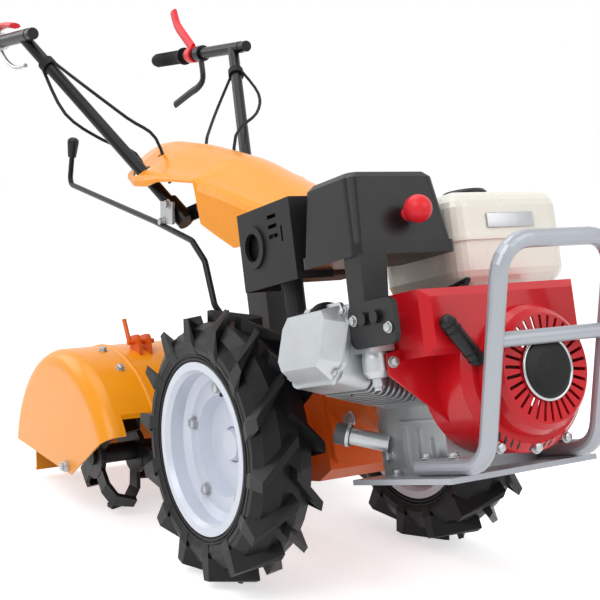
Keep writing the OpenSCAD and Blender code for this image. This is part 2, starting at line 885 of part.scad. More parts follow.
module hood_shell() {
  outer = [for (s = hood_stations) hood_section(s, 0)];
  inner = [for (s = hood_stations) hood_section(s, hood_t)];
  n = len(outer);
  m = len(outer[0]);
  o = n * m;
  polyhedron(
    points = concat([for (s = outer) each s], [for (s = inner) each s]),
    faces = concat(
      [for (i = [0 : n - 2], j = [0 : m - 2])
        [i * m + j, i * m + j + 1, (i + 1) * m + j + 1, (i + 1) * m + j]],
      [for (i = [0 : n - 2], j = [0 : m - 2])
        [o + i * m + j, o + (i + 1) * m + j, o + (i + 1) * m + j + 1, o + i * m + j + 1]],
      [for (i = [0 : n - 2])
        [i * m, (i + 1) * m, o + (i + 1) * m, o + i * m]],
      [for (i = [0 : n - 2])
        [i * m + m - 1, o + i * m + m - 1, o + (i + 1) * m + m - 1, (i + 1) * m + m - 1]],
      [for (j = [0 : m - 2]) [j, o + j, o + j + 1, j + 1]],
      [for (j = [0 : m - 2])
        [(n - 1) * m + j, (n - 1) * m + j + 1, o + (n - 1) * m + j + 1, o + (n - 1) * m + j]]
    )
  );
}
module handle_line(side, r) {
  foot = [handle_foot[0], side * handle_foot[1], handle_foot[2]];
  crown = [handle_crown[0], side * handle_crown[1], handle_crown[2]];
  rod(foot, crown, r);
}
module hood() {
  color("#ffb010")
    chassis()
      difference() {
        hood_shell();
        for (side = [-1, 1])
          handle_line(side, handle_d / 2 + 6);
        for (side = [-1, 1], p = cable_lines(side))
          rod(along(p[3], p[4], -12), p[4], cable_r + cable_hole);
      }
}

// Handle post: box column on the gearbox, channel arm back to the clamps, stays up to the hood
arm_z = [432, 462];
arm_x = [-350, -120];
arm_half = 64;
post_wall = 5;
post_l = 70;
post_w = 64;
post_h = arm_z[1] - post_top - post_wall + 1;
post_back = post_x - 40;
clamp_l = 58;
clamp_t = 6;
stay_r = 8;
function hood_ridge(x) = lookup(x, [for (s = hood_stations) [s[0], s[1]]]);
function hood_lean(x) = atan2(hood_ridge(x - 20) - hood_ridge(x + 20), 40);
function stay_top(x) = hood_ridge(x) - hood_t - (stay_r + fit) / cos(hood_lean(x));
function handle_at(side, d) =
  along([handle_foot[0], side * handle_foot[1], handle_foot[2]],
        [handle_crown[0], side * handle_crown[1], handle_crown[2]], d);
module handle_post() {
  color("#1f1f22")
    chassis()
      difference() {
        union() {
          difference() {
            translate([post_back, -post_w / 2, post_top])
              cube([post_l, post_w, post_h]);
            translate([post_back + post_wall, post_wall - post_w / 2, post_top - 1])
              cube([post_l - 2 * post_wall, post_w - 2 * post_wall, post_h]);
          }
          difference() {
            translate([arm_x[0], -arm_half, arm_z[0]])
              cube([arm_x[1] - arm_x[0], 2 * arm_half, arm_z[1] - arm_z[0]]);
            translate([arm_x[0] - 1, -arm_half + post_wall, arm_z[0] - 1])
              cube([
                post_back - arm_x[0] + 1, 2 * arm_half - 2 * post_wall, arm_z[1] - arm_z[0] - post_wall + 1
              ]);
          }
          for (side = [-1, 1])
            rod(handle_at(side, 0), handle_at(side, clamp_l), handle_d / 2 + clamp_t);
          for (x = [arm_x[0] + 30, arm_x[1] - 30])
            translate([x, 0, arm_z[1] - 1]) {
              cylinder(h = stay_top(x) - arm_z[1] + 1, r = stay_r);
              translate([0, 0, stay_top(x) - arm_z[1] + 1]) sphere(r = stay_r);
            }
        }
        for (side = [-1, 1])
          rod(handle_at(side, -40), handle_at(side, clamp_l + 40), handle_d / 2 + fit / 4);
      }
}
sector = [-232, 448];
sector_r = 46;
notch_count = 7;
module height_sector() {
  color("#c4c8cc")
    chassis()
      across(-arm_half - 6, -arm_half)
        difference() {
          translate(sector) circle(r = sector_r);
          translate(sector - [60, 70]) square([120, 66]);
          for (i = [0 : notch_count - 1])
            translate(sector + sector_r * [cos(30 + 20 * i), sin(30 + 20 * i)])
              circle(r = 4);
        }
}

// Handle tubes: from the clamps under the hood up to the level bars
module handle_tube(side) {
  r = handle_d / 2;
  color("#161618")
    chassis() {
      handle_line(side, r);
      bar_at(side, 0)
        cylinder(h = stub_l + 1, r = r);
      bar_at(side, stub_l)
        cylinder(h = bar_l - grip_l - stub_l, r = bar_r);
    }
}
module handle_right() handle_tube(-1);
module handle_left() handle_tube(1);
module bar_at(side, d) {
  translate([bar_front[0], side * bar_y, bar_front[1]])
    rotate([0, -90 + pitch, 0])
      translate([0, 0, d])
        children();
}
module grip(side) {
  r = grip_d / 2;
  color("#1b1b1d")
    chassis()
      bar_at(side, bar_l - grip_l)
        rotate_extrude()
          polygon([
            [0, 0], [r + 5, 0], [r + 5, 5], [r, 9], [r - 1, grip_l / 2], [r, grip_l - 12],
            [r - 2, grip_l - 4], [r - 7, grip_l], [0, grip_l]
          ]);
}
module grip_right() grip(-1);
module grip_left() grip(1);

// Hand levers on clamps round the bars; their lines give the height over the bar and the place along it
clamp_w = 24;
// Length beyond the clamp over which a lever is cut clear of the bar
lever_clear = 12;
module bar_lever(side, at, line, r, flat) {
  bar_at(side, 0)
    difference() {
      union() {
        translate([0, 0, at]) cylinder(h = clamp_w, r = bar_r + 6);
        sweep([for (p = curve(line, 4)) [p[0], 0, p[1]]], r, 8, flat);
      }
      translate([0, 0, at - lever_clear]) cylinder(h = clamp_w + 2 * lever_clear, r = bar_r + fit / 4);
    }
}
module lever_right() {
  color("#e83a40") chassis() bar_lever(-1, 250, [[17, 262], [30, 225], [33, 170], [26, 110]], 13, 0.5);
}
module lever_left() {
  color("#e83a40") chassis() bar_lever(1, 257, [[17, 269], [45, 307], [79, 351], [116, 373]], 14, 0.5);
}
module lower_lever() {
  color("#1b1b1d")
    chassis()
      bar_lever(1, 212, [[-17, 224], [-60, 216], [-80, 240], [-92, 283], [-118, 368]], 10, 0.55);
}
module hook_lever() {
  color("#b0b4b8") chassis() bar_lever(-1, 196, [[-17, 208], [-45, 165], [-62, 112], [-62, 49]], 4.5, 1);
}

// Cables from a clip on each handle tube down through the hood
cable_r = 3.5;
cable_hole = 4.5;
clip_at = 486;
clip_w = 18;
clip_gap = 0.5;
function cable_lines(side) =
  let (c = handle_at(side, clip_at), r = handle_d / 2 + cable_r)
  side > 0 ? [
    [c + [-r, -6, -4], [-606, 185, 741], [-536, 120, 673], [-484, 80, 631], [-468, 58, 555]],
    [c + [r, 4, 4], [-505, 238, 750], [-452, 195, 690], [-415, 115, 630], [-404, 92, 520]]
  ] : [
    [c + [-r, -6, -4], [-530, -215, 700], [-505, -150, 640], [-478, -92, 605], [-460, -74, 535]],
    [c + [r, 4, 4], [-500, -190, 760], [-440, -120, 670], [-410, -75, 620], [-400, -60, 525]]
  ];
module cables() {
  color("#161618")
    chassis()
      for (side = [-1, 1])
        difference() {
          union() {
            for (p = cable_lines(side))
              cable(p, cable_r);
            rod(
              handle_at(side, clip_at - clip_w / 2), handle_at(side, clip_at + clip_w / 2),
              handle_d / 2 + 5
            );
          }
          rod(handle_at(side, clip_at - 40), handle_at(side, clip_at + 40), handle_d / 2 + clip_gap);
        }
}

// Gear lever: rod from the gearbox up past the hood to the hand
lever_y = -110;
lever_points = [
  [-170, -60, post_top + fit / 2], [-170, -60, post_top + 34], [-176, lever_y, 250],
  [-194, lever_y, 334], [-236, lever_y, 380],
  [-386, lever_y, 445], [-806, lever_y, 612], [-776, lever_y, 668]
];
module gear_lever() {
  color("#1a1a1c") chassis() bent_tube(lever_points, 18, 6, 10);
}
module gear_knob() {
  p = lever_points[len(lever_points) - 1];
  q = lever_points[len(lever_points) - 2];
  color("#3a3c46")
    chassis()
      aim(p, along(p, q, -40))
        rotate_extrude()
          polygon([[0, 0], [9, 0], [10, 6], [13, 34], [12, 40], [7, 44], [0, 45]]);
}

// Tiller case: leg from the drive neck down to the rotor
case_w = 70;
// Carrier across the case, whose upright ends hold the shield in its notch
notch_half = neck_flange_r + 6;
carrier_x = neck_x - 90;
carrier_l = 40;
carrier_z = 112;
carrier_t = 10;
module carrier_outline() {
  x1 = carrier_x + carrier_l;
  polygon([
    [carrier_x, carrier_z], [carrier_x, arch_z(carrier_x) - 2], [x1, arch_z(x1) - 2], [x1, carrier_z]
  ]);
}
module tiller_case() {
  color("#e0701a")
    chassis() {
      difference() {
        union() {
          across(-case_w / 2, case_w / 2)
            link_outline([rotor_x, rotor_z], 46, [neck_x - 60, neck_z], 60);
          lengthwise(neck_x - 40, neck_x - neck_flange_t)
            translate([0, neck_z]) circle(r = drive_neck_r - 4);
          lengthwise(neck_x - neck_flange_t, neck_x)
            translate([0, neck_z]) circle(r = neck_flange_r);
          translate([carrier_x, fit - notch_half, carrier_z])
            cube([carrier_l, 2 * notch_half - 2 * fit, carrier_t]);
          for (y = [fit - notch_half, notch_half - fit - carrier_t])
            across(y, y + carrier_t) carrier_outline();
        }
        translate([rotor_x, 0, rotor_z])
          rotate([90, 0, 0])
            cylinder(h = case_w + 2, r = rotor_shaft_r + fit, center = true);
      }
    }
}

// Tiller shield: arched skin drawn over into rounded end caps, open below
arch = [-561, -55];
arch_r = 274;
function arch_z(x) = arch[1] + sqrt(arch_r * arch_r - (x - arch[0]) * (x - arch[0]));
cap_round = 34;
bead_at = 112;
bead_rise = 5;
hinge = [-806, 66];
hinge_pin_r = 4;
ear_r = 11;
ear_t = 6;
ear_y = tiller_w / 2 - cap_round - ear_t - 4;
module arch_turn() {
  translate([arch[0], 0, arch[1]])
    rotate([90, 0, 0])
      rotate_extrude()
        children();
}
module cap_section(inset) {
  half = tiller_w / 2 - inset;
  r = arch_r - inset;
  c = cap_round - inset;
  translate([0, -half]) square([r - c, 2 * half]);
  translate([0, c - half]) square([r, 2 * half - 2 * c]);
  for (m = [-1, 1])
    translate([r - c, m * (half - c)]) circle(r = c);
}
module skin_cut() {
  polygon([
    [-1000, 108], [-770, 78], [rotor_x, -40], [-318, 30], [-318, 500],
    [-100, 500], [-100, -500], [-1000, -500]
  ]);
}
module cap_cut() {
  polygon([
    [-1000, 108], [-812, 58], [rotor_x, -31], [-290, 36], [-290, 500],
    [-100, 500], [-100, -500], [-1000, -500]
  ]);
}
module tiller_shield() {
  half = tiller_w / 2 + 1;
  color("#ffa312")
    chassis() {
      difference() {
        union() {
          arch_turn() cap_section(0);
          for (m = [-1, 1])
            arch_turn()
              translate([arch_r - 2, m * (tiller_w / 2 - bead_at)]) circle(r = bead_rise);
        }
        arch_turn() cap_section(shield_t);
        across(-ear_y, ear_y) skin_cut();
        across(ear_y - 1, half) cap_cut();
        across(-half, 1 - ear_y) cap_cut();
        translate([neck_x - 110, -notch_half, -100])
          cube([300, 2 * notch_half, 330]);
      }
      for (y = [-notch_half - ear_t, notch_half])
        across(y, y + ear_t) carrier_outline();
      for (m = [-1, 1])
        translate([hinge[0], m * (ear_y + ear_t / 2), hinge[1]])
          rotate([90, 0, 0])
            cylinder(h = ear_t, r = ear_r, center = true);
      translate([hinge[0], 0, hinge[1]])
        rotate([90, 0, 0])
          cylinder(h = 2 * ear_y + ear_t, r = hinge_pin_r, center = true);
    }
}
// Depth bracket: two lugs on the skin with a pin and its handle
bracket_x = -450;
bracket_y = 160 - tiller_w / 2;
bracket_z = arch_z(bracket_x);
lug_t = 6;
module depth_bracket() {
  color("#d8560f")
    chassis()
      difference() {
        union() {
          for (y = [-14, 8])
            across(bracket_y + y, bracket_y + y + lug_t)
              translate([bracket_x, bracket_z]) round_rect(44, 64, 12);
          translate([bracket_x, bracket_y, bracket_z + 18])
            rotate([90, 0, 0])
              cylinder(h = 56, r = 5, center = true);
          rod(
            [bracket_x, bracket_y - 24, bracket_z + 18], [bracket_x - 14, bracket_y - 24, bracket_z + 66],
            4.5
          );
        }
        across(bracket_y - 40, bracket_y + 40)
          translate(arch) circle(r = arch_r + fit / 2, $fn = 96);
      }
}

// Rear flap: hangs straight down from the hinge pin
flap_t = 3;
flap_play = 6;
lip = 9;
module flap_frame() {
  chassis()
    translate([hinge[0], 0, hinge[1]])
      rotate([0, pitch, 0])
        children();
}
module tiller_flap() {
  half = ear_y - flap_play;
  color("#f08a14")
    flap_frame()
      difference() {
        union() {
          rotate([90, 0, 0])
            cylinder(h = 2 * half, r = hinge_pin_r + fit + 3, center = true);
          translate([-flap_t / 2, -half, -flap_h])
            cube([flap_t, 2 * half, flap_h]);
          translate([-lip, -half, -flap_h])
            cube([lip, 2 * half, flap_t]);
        }
        rotate([90, 0, 0])
          cylinder(h = 2 * half + 2, r = hinge_pin_r + fit, center = true);
      }
}

// Tine rotor: shaft, flanges and L-shaped tines
rotor_shaft_r = 19;
flange_y = [74, tiller_w / 4 + 10, tiller_w / 2 - 54];
tine_w = 36;
tine_t = 8;
tine_lag = 10;
foot_l = 52;
tine_flange_r = 46;
tine_flange_t = 10;
// Section of a tine: place across and up, lean of its thickness, width of its blade and lag behind the leg
function tine_section(y, z, lean, w, lag) =
  let (c = tine_t / 2 * cos(lean), s = tine_t / 2 * sin(lean))
  [[w / 2 - lag, y - c, z - s], [-w / 2 - lag, y - c, z - s],
   [-w / 2 - lag, y + c, z + s], [w / 2 - lag, y + c, z + s]];
module tine(side) {
  root = tine_section(0, -30, 0, tine_w - 4, 0);
  shin = tine_section(0, 40 - tine_r, 0, tine_w, 2);
  heel = tine_section(side * 12, 14 - tine_r, side * 45, tine_w, 6);
  toe = tine_section(side * foot_l, tine_t / 2 - tine_r, side * 90, tine_w * 0.7, tine_lag);
  brick(root, shin);
  brick(shin, heel);
  brick(heel, toe);
}
module tine_rotor() {
  color("#303236")
    chassis()
      translate([rotor_x, 0, rotor_z])
        rotate([0, pitch, 0]) {
          rotate([90, 0, 0])
            cylinder(h = 2 * flange_y[2] + 20, r = rotor_shaft_r, center = true, $fn = 24);
          for (side = [-1, 1], k = [0 : 2])
            translate([0, side * flange_y[k], 0]) {
              rotate([90, 0, 0])
                cylinder(h = tine_flange_t, r = tine_flange_r, center = true, $fn = 20);
              for (i = [0 : 3])
                rotate([0, 90 * i + (k % 2 == 0 ? 45 : 0), 0])
                  tine((k == 1 ? (i % 2 == 0 ? 1 : -1) : k == 2 ? -1 : 1) * side);
            }
        }
}

tyre_right();
tyre_left();
rim_right();
rim_left();
half_axle_right();
half_axle_left();
gearbox();
clutch_housing();
crankcase();
cylinder_node();  // cylinder
valve_cover();
oil_filler();
carburettor();
control_panel();
air_cleaner();
cleaner_knob();
muffler();
muffler_guard();
fan_shroud();
recoil_cover();
recoil_hub();
starter_grip();
fuel_tank();
fuel_cap();
engine_plate();
bumper();
hood();
handle_post();
height_sector();
handle_right();
handle_left();
grip_right();
grip_left();
lever_right();
lever_left();
lower_lever();
hook_lever();
cables();
gear_lever();
gear_knob();
tiller_case();
tiller_shield();
depth_bracket();
tiller_flap();
tine_rotor();
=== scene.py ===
"""Hand tractor: finishes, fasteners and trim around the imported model, with a plain studio stage."""

import math

import bpy
from mathutils import Matrix, Vector


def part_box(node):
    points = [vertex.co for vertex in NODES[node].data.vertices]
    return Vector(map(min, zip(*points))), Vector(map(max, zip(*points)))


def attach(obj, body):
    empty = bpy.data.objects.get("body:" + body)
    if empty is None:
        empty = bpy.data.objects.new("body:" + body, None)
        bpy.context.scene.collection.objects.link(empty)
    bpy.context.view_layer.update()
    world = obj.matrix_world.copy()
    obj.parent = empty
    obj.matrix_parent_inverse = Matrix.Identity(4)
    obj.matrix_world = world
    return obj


bl_info = {
    "name": "Hand tractor",
    "version": (1, 0, 0),
    "blender": (4, 5, 0),
    "location": "3D View > Sidebar > Tractor",
    "description": "Dresses the packed hand tractor with finishes, fasteners and a stage",
    "category": "Object",
}

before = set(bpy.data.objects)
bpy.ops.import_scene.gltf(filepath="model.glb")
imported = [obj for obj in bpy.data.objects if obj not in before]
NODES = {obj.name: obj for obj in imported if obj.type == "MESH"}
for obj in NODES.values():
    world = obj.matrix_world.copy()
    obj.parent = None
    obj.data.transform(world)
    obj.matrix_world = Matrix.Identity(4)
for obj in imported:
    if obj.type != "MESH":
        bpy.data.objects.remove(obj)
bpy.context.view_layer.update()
MM = 0.001

# Chassis frame of the source: the axle at its origin, tipped nose up
PITCH = math.radians(13)
AXLE = Vector([(a + b) / 2 for a, b in zip(*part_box("tyre_right"))])
AXLE.y = 0
TILT = Matrix.Rotation(-PITCH, 3, "Y")

# Directions in the chassis frame, and the signs of its right and left side
FRONT, BACK = (1, 0, 0), (-1, 0, 0)
RIGHT = (0, -1, 0)
UP, DOWN = (0, 0, 1), (0, 0, -1)
SIDES = (-1, 1)


def linear(hex_colour):
    """Linear colour of an sRGB hex value."""
    parts = [int(hex_colour[i:i + 2], 16) / 255 for i in (1, 3, 5)]
    return [c / 12.92 if c <= 0.04045 else ((c + 0.055) / 1.055) ** 2.4 for c in parts]


def add(tree, kind, inputs=None, **options):
    """Adds a node to a tree, sets or links its inputs, and returns it."""
    node = tree.nodes.new(kind)
    for name, value in options.items():
        setattr(node, name, value)
    for name, value in (inputs or {}).items():
        if isinstance(value, bpy.types.NodeSocket):
            tree.links.new(value, node.inputs[name])
        else:
            node.inputs[name].default_value = value
    return node


def colour_property(name, hex_colour, words):
    """A colour that the user can change."""
    return bpy.props.FloatVectorProperty(
        name=name, description=words, subtype="COLOR", size=3, min=0, max=1,
        default=linear(hex_colour))


class TractorColours(bpy.types.PropertyGroup):
    """Colours of the paints, plastics and metals."""

    hood: colour_property("Hood", "#F79A0C", "Moulded hood")
    tiller: colour_property("Tiller", "#F79C10", "Enamel of the tiller's sheet steel")
    casting: colour_property("Castings", "#E2600A", "Enamel of the gearbox castings")
    engine: colour_property("Shroud", "#CC1520", "Enamel of the fan shroud and recoil cover")
    tank: colour_property("Tank", "#E9E5DA", "Enamel of the fuel tank")
    rim: colour_property("Rims", "#D2D7E2", "Enamel of the wheel rims and hubs")
    tube: colour_property("Bumper", "#ABAFB6", "Enamel of the bumper and the engine plate")
    aluminium: colour_property("Aluminium", "#B8BCBE", "Cast aluminium of the engine")
    zinc: colour_property("Zinc", "#B4B6B8", "Zinc plated and polished steel")
    levers: colour_property("Levers", "#E42C36", "Red moulded levers and knob")
    black_paint: colour_property("Black enamel", "#141416", "Enamel of tubes and tines")
    black_plastic: colour_property("Black plastic", "#161618", "Black plastic and muffler")
    grey_plastic: colour_property("Grey plastic", "#55585A", "Oil filler's moulded cap")
    rubber: colour_property("Rubber", "#111113", "Tyres, grips and cable sleeves")


class TractorStage(bpy.types.PropertyGroup):
    """Place, direction and lens of the camera."""

    axle_ahead: bpy.props.FloatProperty(
        name="Camera ahead", description="Camera's distance ahead of the axle",
        unit="LENGTH", default=1.7219)
    right: bpy.props.FloatProperty(
        name="Camera right", description="Camera's distance to the right of the machine",
        unit="LENGTH", default=1.1562)
    height: bpy.props.FloatProperty(
        name="Camera height", description="Camera's height over the floor",
        unit="LENGTH", default=0.6862)
    azimuth: bpy.props.FloatProperty(
        name="Azimuth", description="Viewing direction round the machine", subtype="ANGLE",
        default=math.radians(57.73))
    elevation: bpy.props.FloatProperty(
        name="Elevation", description="Angle that the camera looks down", subtype="ANGLE",
        default=math.radians(6.41))
    lens: bpy.props.FloatProperty(
        name="Lens", description="Focal length in millimetres on a 36 mm frame", default=72.85)


def settings():
    """The scene's own colours and stage values."""
    return bpy.context.scene.tractor_colours, bpy.context.scene.tractor_stage


# What all finishes share: roughness of the clear coat, how far the gloss varies, and its floor
COAT_ROUGHNESS = 0.08
GLOSS_SPREAD = 0.08
LEAST_ROUGHNESS = 0.02
# Sockets of a Mix node that mixes colours
MIX_A, MIX_B, MIX_RESULT = 6, 7, 2


def surface(name, colour, roughness, metallic=0.0, coat=0.0, mottle=0.06, mottle_mm=60.0,
            grain_mm=0.6, grain_height_mm=0.02, specular=0.5):
    """Material with soft colour mottle, uneven gloss and a fine surface grain."""
    material = bpy.data.materials.new(name)
    material.use_nodes = True
    tree = material.node_tree
    shader = tree.nodes["Principled BSDF"]
    shader.inputs["Metallic"].default_value = metallic
    shader.inputs["Specular IOR Level"].default_value = specular
    shader.inputs["Coat Weight"].default_value = coat
    shader.inputs["Coat Roughness"].default_value = COAT_ROUGHNESS
    place = add(tree, "ShaderNodeTexCoord").outputs["Object"]
    broad = add(tree, "ShaderNodeTexNoise", {
        "Vector": place, "Scale": 1 / (mottle_mm * MM), "Detail": 4.0})
    tint = add(tree, "ShaderNodeMix", {"Factor": broad.outputs["Fac"]}, data_type="RGBA")
    tint.inputs[MIX_A].default_value = [c * (1 - mottle) for c in colour] + [1]
    tint.inputs[MIX_B].default_value = [min(1, c * (1 + mottle)) for c in colour] + [1]
    tree.links.new(tint.outputs[MIX_RESULT], shader.inputs["Base Color"])
    gloss = add(tree, "ShaderNodeMapRange", {
        "Value": broad.outputs["Fac"],
        "To Min": max(LEAST_ROUGHNESS, roughness - GLOSS_SPREAD),
        "To Max": min(1, roughness + GLOSS_SPREAD)})
    tree.links.new(gloss.outputs["Result"], shader.inputs["Roughness"])
    fine = add(tree, "ShaderNodeTexNoise", {
        "Vector": place, "Scale": 1 / (grain_mm * MM), "Detail": 2.0})
    bump = add(tree, "ShaderNodeBump", {
        "Height": fine.outputs["Fac"], "Strength": 1.0, "Distance": grain_height_mm * MM})
    tree.links.new(bump.outputs["Normal"], shader.inputs["Normal"])
    return material


def dress(material, *nodes):
    """Gives CAD nodes one material all over."""
    for name in nodes:
        slots = NODES[name].data.materials
        slots.clear()
        slots.append(material)


class TRACTOR_OT_finishes(bpy.types.Operator):
    """Gives every CAD node its own finish"""

    bl_idname = "tractor.finishes"
    bl_label = "Finishes"

    def execute(self, context):
        colours, _ = settings()
        # Moulded, glossy ABS shows a soft orange-peel skin
        dress(surface("moulded_abs_orange", colours.hood, roughness=0.28, coat=0.12, grain_mm=7,
                      grain_height_mm=0.05, specular=0.3),
              "hood")
        # Sheet steel sprayed with enamel: glossy with slight orange peel
        dress(surface("orange_sheet_enamel", colours.tiller, roughness=0.3, coat=0.12, grain_mm=5,
                      grain_height_mm=0.05, specular=0.3),
              "tiller_shield", "tiller_flap")
        # Sand castings keep their grain under the paint
        dress(surface("orange_casting_enamel", colours.casting, roughness=0.42, mottle=0.12,
                      grain_mm=1.6, grain_height_mm=0.1),
              "gearbox", "clutch_housing", "tiller_case", "depth_bracket")
        # Pressed sheet in red enamel: deep colour under a thin gloss
        dress(surface("red_sheet_enamel", colours.engine, roughness=0.26, coat=0.15, grain_mm=5,
                      grain_height_mm=0.04, specular=0.25),
              "fan_shroud", "recoil_cover")
        # Cream enamel under a clear coat: the smoothest, brightest skin of the engine
        dress(surface("cream_tank_enamel", colours.tank, roughness=0.28, coat=0.4, mottle=0.03,
                      grain_mm=6, grain_height_mm=0.04),
              "fuel_tank")
        # Enamel with aluminium flake: pale, with a soft metallic sheen
        dress(surface("silver_rim_enamel", colours.rim, roughness=0.36, metallic=0.15, mottle=0.04,
                      grain_mm=3),
              "rim_right", "rim_left", "half_axle_right", "half_axle_left")
        # More flake: greyer, with long highlights along the tubes
        dress(surface("silver_tube_enamel", colours.tube, roughness=0.34, metallic=0.35,
                      mottle=0.05, grain_mm=3),
              "bumper", "engine_plate")
        # Die-cast aluminium: matt and slightly blotched from the die
        dress(surface("die_cast_aluminium", colours.aluminium, roughness=0.42, metallic=0.85,
                      mottle=0.1, mottle_mm=25, grain_mm=1.2, grain_height_mm=0.06),
              "crankcase", "cylinder", "valve_cover", "carburettor", "oil_filler")
        # Zinc plate: bright grey metal, cloudy from spot to spot
        dress(surface("zinc_plated_steel", colours.zinc, roughness=0.36, metallic=0.85, mottle=0.1,
                      mottle_mm=12),
              "height_sector", "hook_lever")
        # Polished ring: clear, narrow highlights
        surface("polished_steel", colours.zinc, roughness=0.14, metallic=1.0, mottle=0.03)
        # Plastic coloured all through: glossy, with a faint grain of the mould
        dress(surface("red_moulded_plastic", colours.levers, roughness=0.3, mottle=0.04,
                      grain_mm=2, specular=0.25),
              "cleaner_knob", "lever_right", "lever_left")
        # Smooth black enamel: a thin bright line along each tube
        dress(surface("black_tube_enamel", colours.black_paint, roughness=0.3, grain_mm=5,
                      grain_height_mm=0.03, specular=0.22),
              "handle_post", "handle_right", "handle_left", "lower_lever", "gear_lever",
              "recoil_hub")
        # Heatproof paint: dull and sooty, without clear reflections
        dress(surface("heatproof_black_paint", colours.black_plastic, roughness=0.55, mottle=0.15,
                      grain_mm=0.9, specular=0.3),
              "muffler", "muffler_guard")
        # Moulded polypropylene has a fine spark-eroded grain
        dress(surface("grained_black_plastic", colours.black_plastic, roughness=0.36, mottle=0.08,
                      grain_mm=1.1, grain_height_mm=0.05, specular=0.3),
              "air_cleaner", "control_panel", "starter_grip", "fuel_cap", "gear_knob")
        # Grey plastic: a dull cap on the filler's bright neck
        surface("grey_moulded_plastic", colours.grey_plastic, roughness=0.45, mottle=0.05,
                grain_mm=1.1, specular=0.3)
        # New rubber has a waxy sheen from the mould
        dress(surface("moulded_tyre_rubber", colours.rubber, roughness=0.46, mottle=0.25,
                      mottle_mm=40, grain_mm=1.5, grain_height_mm=0.08, specular=0.25),
              "tyre_right", "tyre_left")
        # Soft rubber: matt, so that grips and sleeves stand off from the glossy tubes
        dress(surface("soft_grip_rubber", colours.rubber, roughness=0.6, mottle=0.1, grain_mm=1.0,
                      specular=0.25),
              "grip_right", "grip_left", "cables")
        # Black paint over forged steel: uneven and dull, with a hint of metal
        dress(surface("black_forged_steel", colours.black_paint, roughness=0.45, metallic=0.2,
                      mottle=0.3, mottle_mm=20, grain_mm=2, grain_height_mm=0.15, specular=0.3),
              "tine_rotor")
        return {"FINISHED"}


def at(x, y, z):
    """World place of a chassis point in millimetres."""
    return AXLE + TILT @ Vector((x, y, z)) * MM


def facing(way):
    """Rotation that turns Z to a world direction."""
    return way.to_track_quat("Z", "Y").to_euler()


def aim(x, y, z):
    """Rotation that turns Z to a chassis direction."""
    return facing(TILT @ Vector((x, y, z)))


SMOOTH_ANGLE = math.radians(40)


def begin(name):
    """Starts an empty mesh at the origin, in edit mode."""
    bpy.ops.object.select_all(action="DESELECT")
    bpy.ops.mesh.primitive_plane_add(size=MM)
    bpy.context.object.name = name
    bpy.ops.object.mode_set(mode="EDIT")
    bpy.ops.mesh.delete(type="VERT")


def end(material, body="chassis"):
    """Leaves edit mode, gives the piece its material and hangs it on its body."""
    bpy.ops.object.mode_set(mode="OBJECT")
    piece = bpy.context.object
    bpy.ops.object.shade_smooth_by_angle(angle=SMOOTH_ANGLE)
    piece.data.materials.append(bpy.data.materials[material])
    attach(piece, body)


def bevel(edge_mm, steps):
    """Breaks the edges of what was added last."""
    bpy.ops.mesh.bevel(offset=edge_mm * MM, segments=steps, affect="EDGES")


def bar(place, turn, sides, radius_mm, depth_mm, edge_mm, steps):
    """Round or many-sided bar along the turned Z axis, centred on a place."""
    bpy.ops.mesh.primitive_cylinder_add(
        vertices=sides, radius=radius_mm * MM, depth=depth_mm * MM, location=place, rotation=turn)
    bevel(edge_mm, steps)


# Radii of a bolt's washer and hexagon, and its broken edge, by the width across flats
WASHER_SHARE, HEXAGON_SHARE, EDGE_SHARE = 0.72, 0.577, 0.09
# Thickness of the washer, and how far up its middle and the foot of the head are
WASHER_MM, WASHER_MIDDLE_MM, HEAD_FOOT_MM = 2, 0.9, 1


def bolt(place, turn, across_mm, height_mm):
    """Hexagon head with broken edges on a washer, rising from a place along the turned Z axis."""
    up = turn.to_matrix() @ Vector((0, 0, 1))
    bar(place + up * WASHER_MIDDLE_MM * MM, turn, sides=28, radius_mm=across_mm * WASHER_SHARE,
        depth_mm=WASHER_MM, edge_mm=0.4, steps=1)
    bar(place + up * (height_mm / 2 + HEAD_FOOT_MM) * MM, turn, sides=6,
        radius_mm=across_mm * HEXAGON_SHARE, depth_mm=height_mm,
        edge_mm=EDGE_SHARE * across_mm, steps=2)


def ring(place, turn, radius_mm, wire_mm, segments=48):
    """Round ring about the turned Z axis."""
    bpy.ops.mesh.primitive_torus_add(
        major_radius=radius_mm * MM, minor_radius=wire_mm * MM, major_segments=segments,
        minor_segments=10, location=place, rotation=turn)


def block(place, turn, size_mm, edge_mm):
    """Box with rounded edges, centred on a place."""
    bpy.ops.mesh.primitive_cube_add(
        size=1, location=place, rotation=turn, scale=[v * MM for v in size_mm])
    bevel(edge_mm, steps=3)


# Rings of a hose between two of its points, and corners of each ring
HOSE_STEPS, HOSE_SIDES = 5, 10


def hose(points, radius_mm):
    """Round hose through chassis points: rings across its line, bridged."""
    places = [at(*p) for p in points]
    smooth = []
    for i in range(len(places) - 1):
        a, b = places[max(i - 1, 0)], places[i]
        c, d = places[i + 1], places[min(i + 2, len(places) - 1)]
        for t in (k / HOSE_STEPS for k in range(HOSE_STEPS)):
            smooth.append(0.5 * (2 * b + (c - a) * t + (2 * a - 5 * b + 4 * c - d) * t ** 2
                                 + (3 * b - a - 3 * c + d) * t ** 3))
    smooth.append(places[-1])
    for i, place in enumerate(smooth):
        line = smooth[min(i + 1, len(smooth) - 1)] - smooth[max(i - 1, 0)]
        bpy.ops.mesh.primitive_circle_add(
            vertices=HOSE_SIDES, radius=radius_mm * MM, location=place, rotation=facing(line))
    bpy.ops.mesh.select_all(action="SELECT")
    bpy.ops.mesh.bridge_edge_loops()
    bpy.ops.mesh.normals_make_consistent(inside=False)


